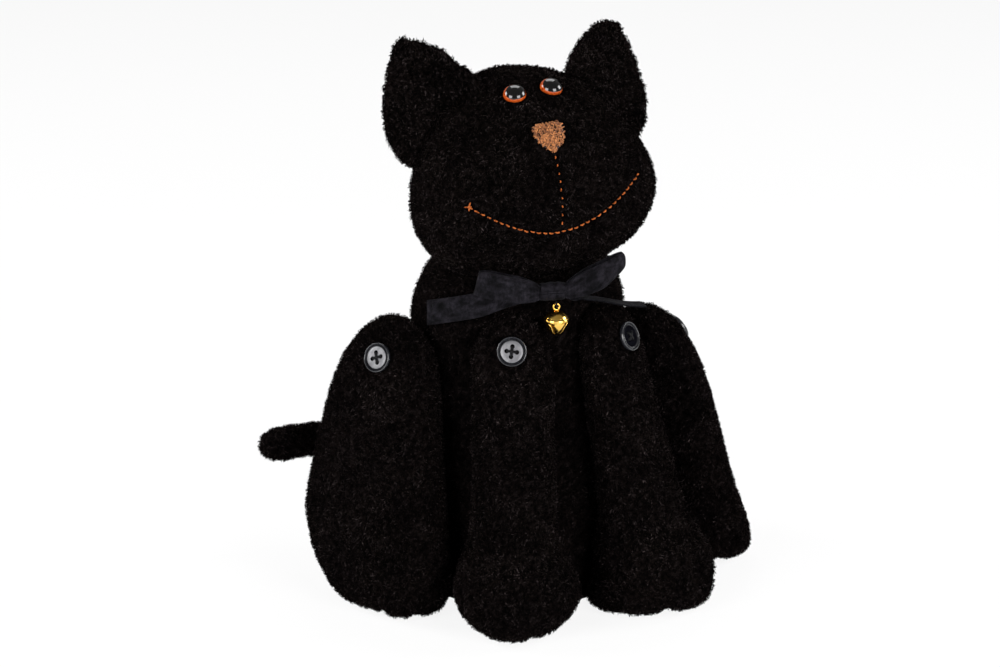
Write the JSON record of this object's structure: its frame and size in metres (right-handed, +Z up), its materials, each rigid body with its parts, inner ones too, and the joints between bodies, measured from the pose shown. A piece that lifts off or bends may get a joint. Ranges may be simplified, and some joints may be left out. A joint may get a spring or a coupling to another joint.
{
  "type": "weighted fabric door stop",
  "caption": "Seated plush cat door stop: ballast-filled cloth body, stitched head with ears and domed eyes, buttoned hanging legs, tail, ribbon bow and a small jingle bell.",
  "frame": {"origin": "middle of the underside of the base panel, on the floor", "axes": "+Z up, the face and toes towards -Y, the cat's left side towards +X"},
  "size_m": [0.2061, 0.1588, 0.248],
  "materials": {
    "plush": "short black terry plush",
    "lining": "plain black woven cloth",
    "bag": "coarse undyed cotton",
    "ribbon": "fine woven blue-black cotton tape",
    "brass": "polished",
    "button": "glossy dark resin with a pearl sheen",
    "eye": "glossy amber with a black pupil",
    "nylon": "moulded",
    "copper_thread": "copper-brown embroidery thread",
    "black_thread": "waxed black thread"
  },
  "bodies": {
    "cat": {"head": "plush", "ear_right": "plush", "ear_left": "plush", "eye_right": "eye", "eye_left": "eye", "eye_washer_right": "nylon", "eye_washer_left": "nylon", "nose": "copper_thread", "mouth_thread": "copper_thread", "lip_thread": "copper_thread", "body": "plush", "base_panel": "lining", "ballast_bag": "bag", "tail": "plush", "leg_front_right": "plush", "leg_front_left": "plush", "leg_hind_right": "plush", "leg_hind_left": "plush", "button_front_right": "button", "button_front_left": "button", "button_hind_right": "button", "button_hind_left": "button", "button_thread_front_right": "black_thread", "button_thread_front_left": "black_thread", "button_thread_hind_right": "black_thread", "button_thread_hind_left": "black_thread", "bow_loops": "ribbon", "bow_streamers": "ribbon", "bow_knot": "ribbon", "bell_hanger": "black_thread"},
    "bell": {"bell_upper": "brass", "bell_lower": "brass", "bell_eyelet": "brass", "bell_ball": "brass"}
  },
  "joints": [
    {"name": "bell_swing", "type": "hinge", "parent": "cat", "child": "bell", "pos_m": [-0.00757, -0.0462, 0.13627], "axis": [0.2756, 0.9613, 0], "range_deg": [-15, 15]}
  ]
}
